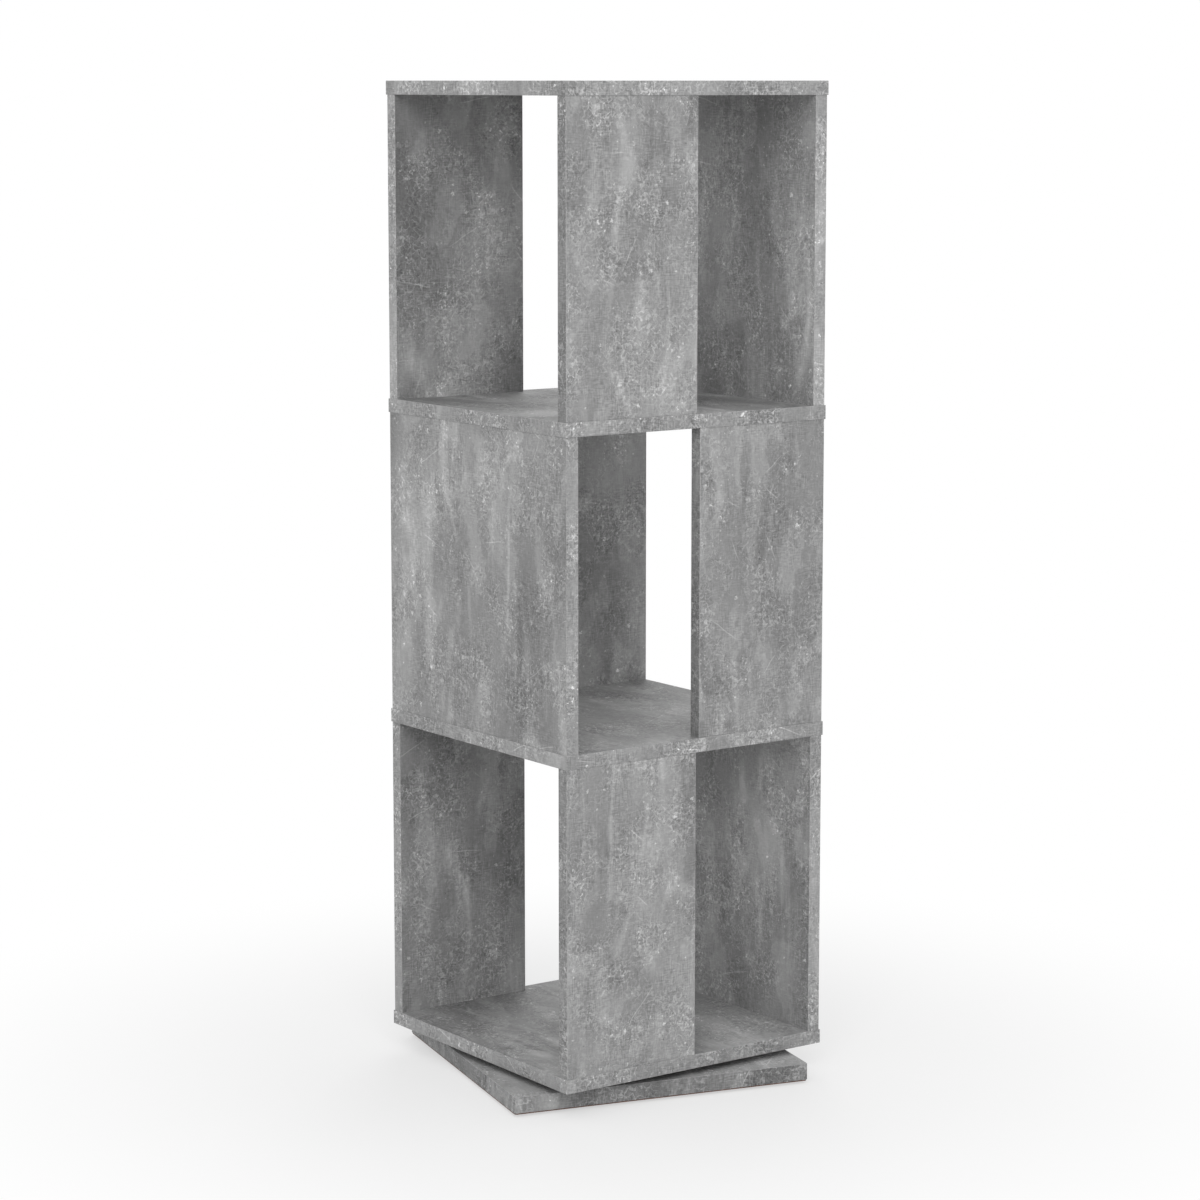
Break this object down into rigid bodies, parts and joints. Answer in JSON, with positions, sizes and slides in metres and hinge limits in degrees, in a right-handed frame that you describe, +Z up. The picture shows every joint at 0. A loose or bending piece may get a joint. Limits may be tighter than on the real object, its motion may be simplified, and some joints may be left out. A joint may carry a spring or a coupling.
{
  "type": "rotating media tower",
  "caption": "Tall square shelf tower with open bays stacked in turn, on a ball-bearing turntable above a square base plate.",
  "frame": {"origin": "on the floor, on the axis that the tower turns about, which is the middle of the part's underside", "axes": "+Z up; X and Y along the sides of the tower, with the open sides of the top and bottom bays facing -X and that of the middle bay facing +X"},
  "size_m": [0.4096, 0.4096, 1.08],
  "materials": {
    "base_board": "matt melamine foil in a grey concrete decor on a thick chipboard core",
    "plate_board": "matt melamine foil in a grey concrete decor on chipboard, edged in the same decor",
    "panel_board": "matt melamine foil in a grey concrete decor on chipboard, edged in the same decor",
    "turntable_steel": "zinc-plated pressed steel",
    "ball_steel": "polished steel balls in a brass cage",
    "screw_steel": "zinc-plated wood screws",
    "cam_zinc": "die-cast zinc, dull",
    "glide_plastic": "dark brown moulded plastic"
  },
  "bodies": {
    "base": {"base_plate": "base_board", "glide_front_left": "glide_plastic", "glide_front_right": "glide_plastic", "glide_back_right": "glide_plastic", "glide_back_left": "glide_plastic", "turntable_lower_ring": "turntable_steel", "lower_ring_screw_1": "screw_steel", "lower_ring_screw_2": "screw_steel", "lower_ring_screw_3": "screw_steel", "lower_ring_screw_4": "screw_steel"},
    "ball_ring": {"turntable_ball_ring": "ball_steel"},
    "tower": {"turntable_upper_ring": "turntable_steel", "upper_ring_screw_1": "screw_steel", "upper_ring_screw_2": "screw_steel", "upper_ring_screw_3": "screw_steel", "upper_ring_screw_4": "screw_steel", "bottom_plate": "plate_board", "lower_shelf": "plate_board", "upper_shelf": "plate_board", "top_plate": "plate_board", "bottom_full_panel": "panel_board", "bottom_front_half_panel": "panel_board", "bottom_back_half_panel": "panel_board", "middle_full_panel": "panel_board", "middle_front_half_panel": "panel_board", "middle_back_half_panel": "panel_board", "top_full_panel": "panel_board", "top_front_half_panel": "panel_board", "top_back_half_panel": "panel_board", "bottom_full_panel_upper_cam_1": "cam_zinc", "bottom_full_panel_upper_cam_2": "cam_zinc", "bottom_full_panel_lower_cam_1": "cam_zinc", "bottom_full_panel_lower_cam_2": "cam_zinc", "bottom_front_half_panel_upper_cam": "cam_zinc", "bottom_front_half_panel_lower_cam": "cam_zinc", "bottom_back_half_panel_upper_cam": "cam_zinc", "bottom_back_half_panel_lower_cam": "cam_zinc", "middle_full_panel_upper_cam_1": "cam_zinc", "middle_full_panel_upper_cam_2": "cam_zinc", "middle_full_panel_lower_cam_1": "cam_zinc", "middle_full_panel_lower_cam_2": "cam_zinc", "middle_front_half_panel_upper_cam": "cam_zinc", "middle_front_half_panel_lower_cam": "cam_zinc", "middle_back_half_panel_upper_cam": "cam_zinc", "middle_back_half_panel_lower_cam": "cam_zinc", "top_full_panel_upper_cam_1": "cam_zinc", "top_full_panel_upper_cam_2": "cam_zinc", "top_full_panel_lower_cam_1": "cam_zinc", "top_full_panel_lower_cam_2": "cam_zinc", "top_front_half_panel_upper_cam": "cam_zinc", "top_front_half_panel_lower_cam": "cam_zinc", "top_back_half_panel_upper_cam": "cam_zinc", "top_back_half_panel_lower_cam": "cam_zinc"}
  },
  "joints": [
    {"name": "tower_spin", "type": "hinge", "parent": "base", "child": "tower", "pos_m": [0, 0, 0.026], "axis": [0, 0, 1], "continuous": true},
    {"name": "ball_ring_spin", "type": "hinge", "parent": "base", "child": "ball_ring", "pos_m": [0, 0, 0.026], "axis": [0, 0, 1], "continuous": true}
  ],
  "couplings": [
    {"joint": "ball_ring_spin", "follows": "tower_spin", "ratio": 0.5}
  ]
}
